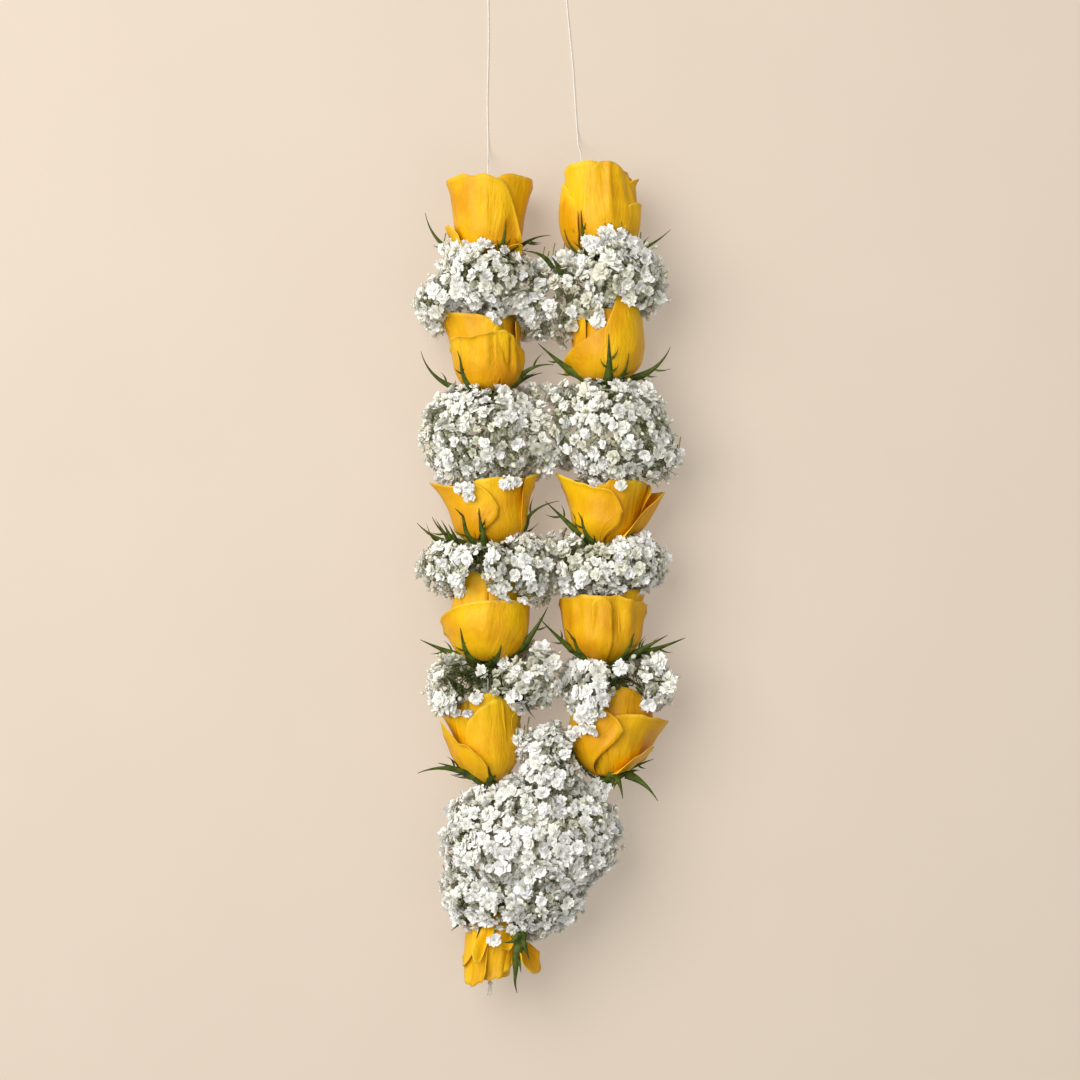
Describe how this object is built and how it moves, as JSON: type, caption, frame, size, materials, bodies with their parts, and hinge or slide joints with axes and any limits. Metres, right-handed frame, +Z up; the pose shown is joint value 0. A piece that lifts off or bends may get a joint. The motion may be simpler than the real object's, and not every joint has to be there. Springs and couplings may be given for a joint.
{
  "type": "rose and babys breath garland",
  "caption": "Flower garland of yellow roses and white baby's breath bunches on thin threads, its strands meeting in a pendant bunch with a rose at the tip.",
  "frame": {"origin": "middle of the garland's box, without its loose thread ends, on the surface it lies on", "axes": "+Y up the garland from the tip rose to the loose thread ends, +X to its right, +Z up from the surface"},
  "size_m": [0.1625, 0.6137, 0.0783],
  "materials": {
    "petal": "soft yellow rose petal",
    "sepal": "matte green sepal",
    "floret": "matte white floret",
    "stem": "matte green stem",
    "thread": "off-white cotton thread"
  },
  "bodies": {
    "root": {"rose_left_1": "petal", "rose_left_2": "petal", "rose_left_3": "petal", "rose_left_4": "petal", "rose_left_5": "petal", "rose_right_1": "petal", "rose_right_2": "petal", "rose_right_3": "petal", "rose_right_4": "petal", "rose_right_5": "petal", "rose_tip": "petal", "calyx_left_1": "sepal", "calyx_left_2": "sepal", "calyx_left_3": "sepal", "calyx_left_4": "sepal", "calyx_left_5": "sepal", "calyx_right_1": "sepal", "calyx_right_2": "sepal", "calyx_right_3": "sepal", "calyx_right_4": "sepal", "calyx_right_5": "sepal", "calyx_tip": "sepal", "bunch_left_1": "floret", "bunch_left_2": "floret", "bunch_left_3": "floret", "bunch_left_4": "floret", "bunch_right_1": "floret", "bunch_right_2": "floret", "bunch_right_3": "floret", "bunch_right_4": "floret", "bunch_pendant": "floret", "stems_left_1": "stem", "stems_left_2": "stem", "stems_left_3": "stem", "stems_left_4": "stem", "stems_right_1": "stem", "stems_right_2": "stem", "stems_right_3": "stem", "stems_right_4": "stem", "stems_pendant": "stem", "thread_left": "thread", "thread_right": "thread", "tip_knot": "thread", "tail_left": "thread", "tail_right": "thread", "tail_knot_left": "thread", "tail_knot_right": "thread"}
  },
  "joints": []
}
